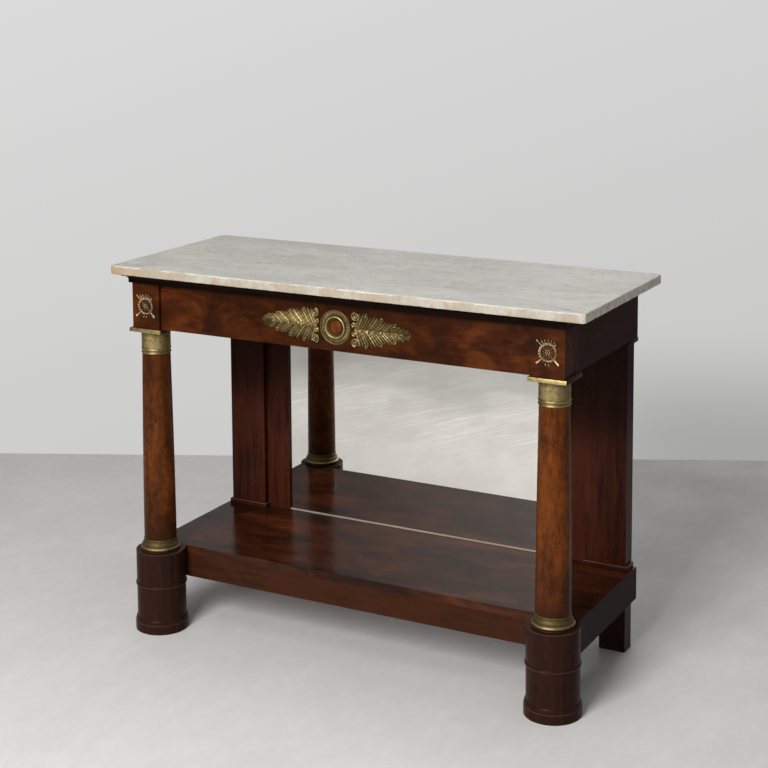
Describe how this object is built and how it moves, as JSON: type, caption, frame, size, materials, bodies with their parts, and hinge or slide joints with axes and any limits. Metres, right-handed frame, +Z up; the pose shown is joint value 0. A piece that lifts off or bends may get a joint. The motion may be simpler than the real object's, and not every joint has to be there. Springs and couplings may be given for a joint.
{
  "type": "pier table",
  "caption": "Marble-topped pier table with turned columns, drum feet, a mirror back, a low platform, gilt mounts and a concealed frieze drawer.",
  "frame": {"origin": "on the floor, in the middle of the outer box", "axes": "+Z up, the front with the drawer faces -Y, +X to the right seen from the front"},
  "size_m": [1.174, 0.474, 0.87],
  "materials": {
    "marble": "polished pale grey-cream marble, opaque",
    "flame_mahogany": "flame-figured veneer, french polished",
    "mahogany": "straight-grained, french polished",
    "dark_mahogany": "dark reddish brown, polished",
    "secondary_wood": "plain, unpolished",
    "gilt_bronze": "gilded, satin and burnished",
    "mirror": "old silvered plate"
  },
  "bodies": {
    "root": {"abacus_plates": "mahogany", "abacus_strips": "gilt_bronze", "base_discs": "gilt_bronze", "base_ring_left": "gilt_bronze", "base_ring_right": "gilt_bronze", "capital_left": "gilt_bronze", "capital_right": "gilt_bronze", "column_left": "mahogany", "column_right": "mahogany", "corner_block_left": "flame_mahogany", "corner_block_right": "flame_mahogany", "cornice_front": "mahogany", "cornice_left": "mahogany", "cornice_right": "mahogany", "drawer_guides": "secondary_wood", "drawer_kickers": "secondary_wood", "drawer_lower_bearer": "secondary_wood", "drawer_runners": "secondary_wood", "drawer_upper_bearer": "secondary_wood", "foot_beads": "dark_mahogany", "foot_dowels": "secondary_wood", "foot_lower_left": "dark_mahogany", "foot_lower_right": "dark_mahogany", "foot_ring_left": "dark_mahogany", "foot_ring_right": "dark_mahogany", "foot_upper_left": "dark_mahogany", "foot_upper_right": "dark_mahogany", "frieze_back_rail": "secondary_wood", "glass_blocks": "secondary_wood", "marble_top": "marble", "mirror_backboard": "secondary_wood", "mirror_fillet": "mahogany", "mirror_glass": "mirror", "mirror_stile_left": "mahogany", "mirror_stile_right": "mahogany", "mirror_top_rail": "mahogany", "pilaster_caps": "mahogany", "pilaster_left": "mahogany", "pilaster_plinths": "mahogany", "pilaster_right": "mahogany", "platform_back_rail": "secondary_wood", "platform_corners": "dark_mahogany", "platform_front_rail": "dark_mahogany", "platform_side_rails": "dark_mahogany", "platform_top": "dark_mahogany", "rear_leg_left": "dark_mahogany", "rear_leg_right": "dark_mahogany", "side_rail_left": "flame_mahogany", "side_rail_right": "flame_mahogany", "top_back_rail": "secondary_wood", "top_cross_rail": "secondary_wood", "wreath_mounts": "gilt_bronze"},
    "drawer": {"drawer_back": "secondary_wood", "drawer_bottom": "secondary_wood", "drawer_front": "flame_mahogany", "drawer_side_left": "secondary_wood", "drawer_side_right": "secondary_wood", "ring_mount": "gilt_bronze", "spray_mounts": "gilt_bronze"}
  },
  "joints": [
    {"name": "drawer_slide", "type": "slide", "parent": "root", "child": "drawer", "axis": [0, -1, 0], "range_m": [0, 0.28]}
  ]
}
